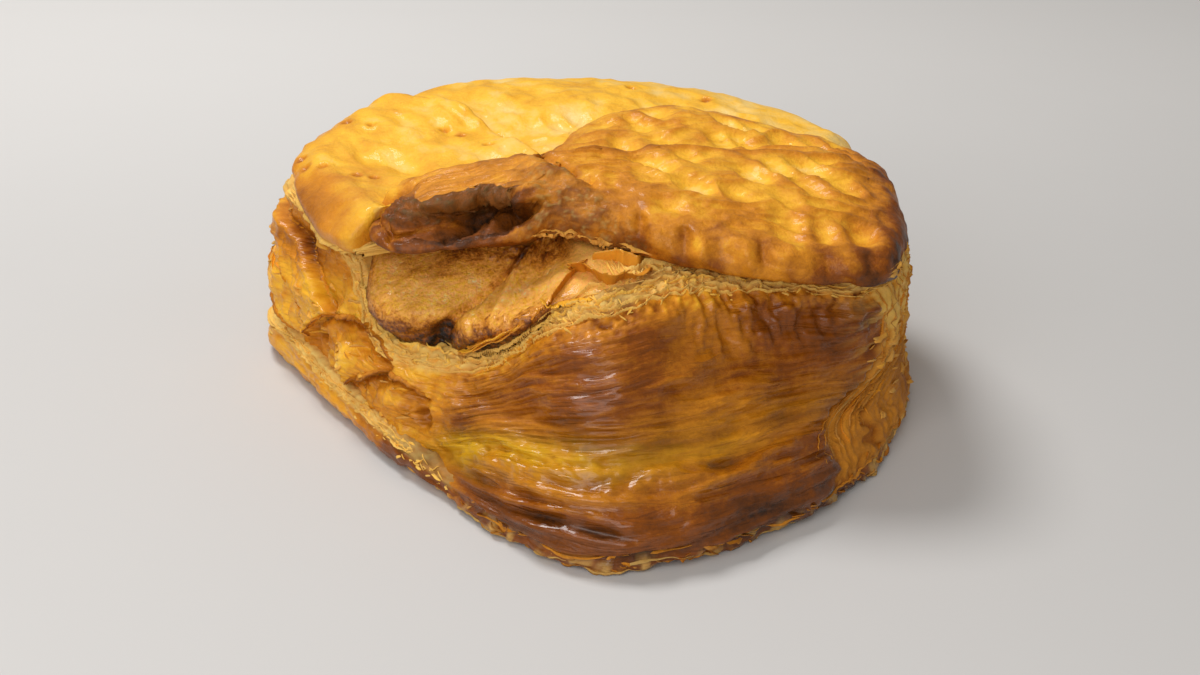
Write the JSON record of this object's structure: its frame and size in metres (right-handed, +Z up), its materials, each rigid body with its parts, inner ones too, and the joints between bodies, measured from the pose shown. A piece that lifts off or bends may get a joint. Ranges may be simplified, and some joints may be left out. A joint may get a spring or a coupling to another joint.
{
  "type": "ham bougatsa",
  "caption": "Tall folded puff pastry parcel, baked golden to dark brown, with a dimpled flap folded over its top and a burnt open fold at the left.",
  "frame": {"origin": "centre of the pastry's box, on the flat underside that it rests on", "axes": "+Z up, +X to the right across the widest part, -Y towards the pointed front with the burnt open fold at its left"},
  "size_m": [0.1498, 0.1428, 0.0612],
  "materials": {
    "pastry": "baked flaky dough, golden yellow to dark brown, partly glossy with fat"
  },
  "bodies": {
    "root": {"pastry": "pastry"}
  },
  "joints": []
}
